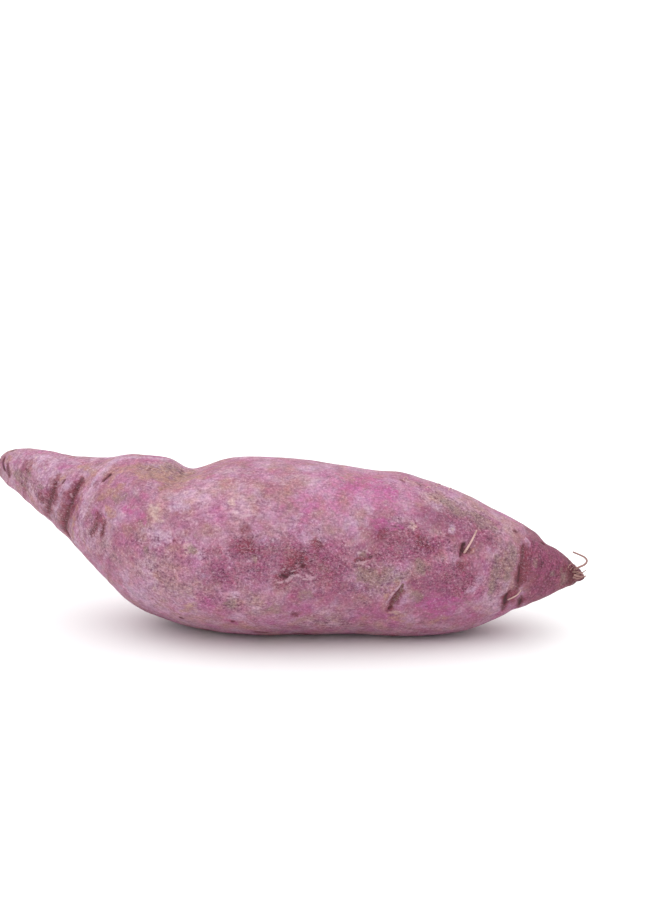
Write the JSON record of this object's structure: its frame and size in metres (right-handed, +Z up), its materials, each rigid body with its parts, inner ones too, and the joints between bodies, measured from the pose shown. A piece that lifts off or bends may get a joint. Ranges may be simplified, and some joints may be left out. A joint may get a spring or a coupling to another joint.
{
  "type": "purple sweet potato",
  "caption": "Whole raw purple sweet potato: a tapering storage root that lies on its belly, with a raised stem end, a pointed tail, creases and side-root scars.",
  "frame": {"origin": "on the surface that the root rests on, under the middle of its bounding box", "axes": "+X along the root, from the raised stem end to the pointed tail; +Z up; -Y towards the side that the picture shows"},
  "size_m": [0.1914, 0.0608, 0.0564],
  "materials": {
    "skin": "dry matte skin, mottled purple and pink"
  },
  "bodies": {
    "root": {"sweet_potato": "skin"}
  },
  "joints": []
}
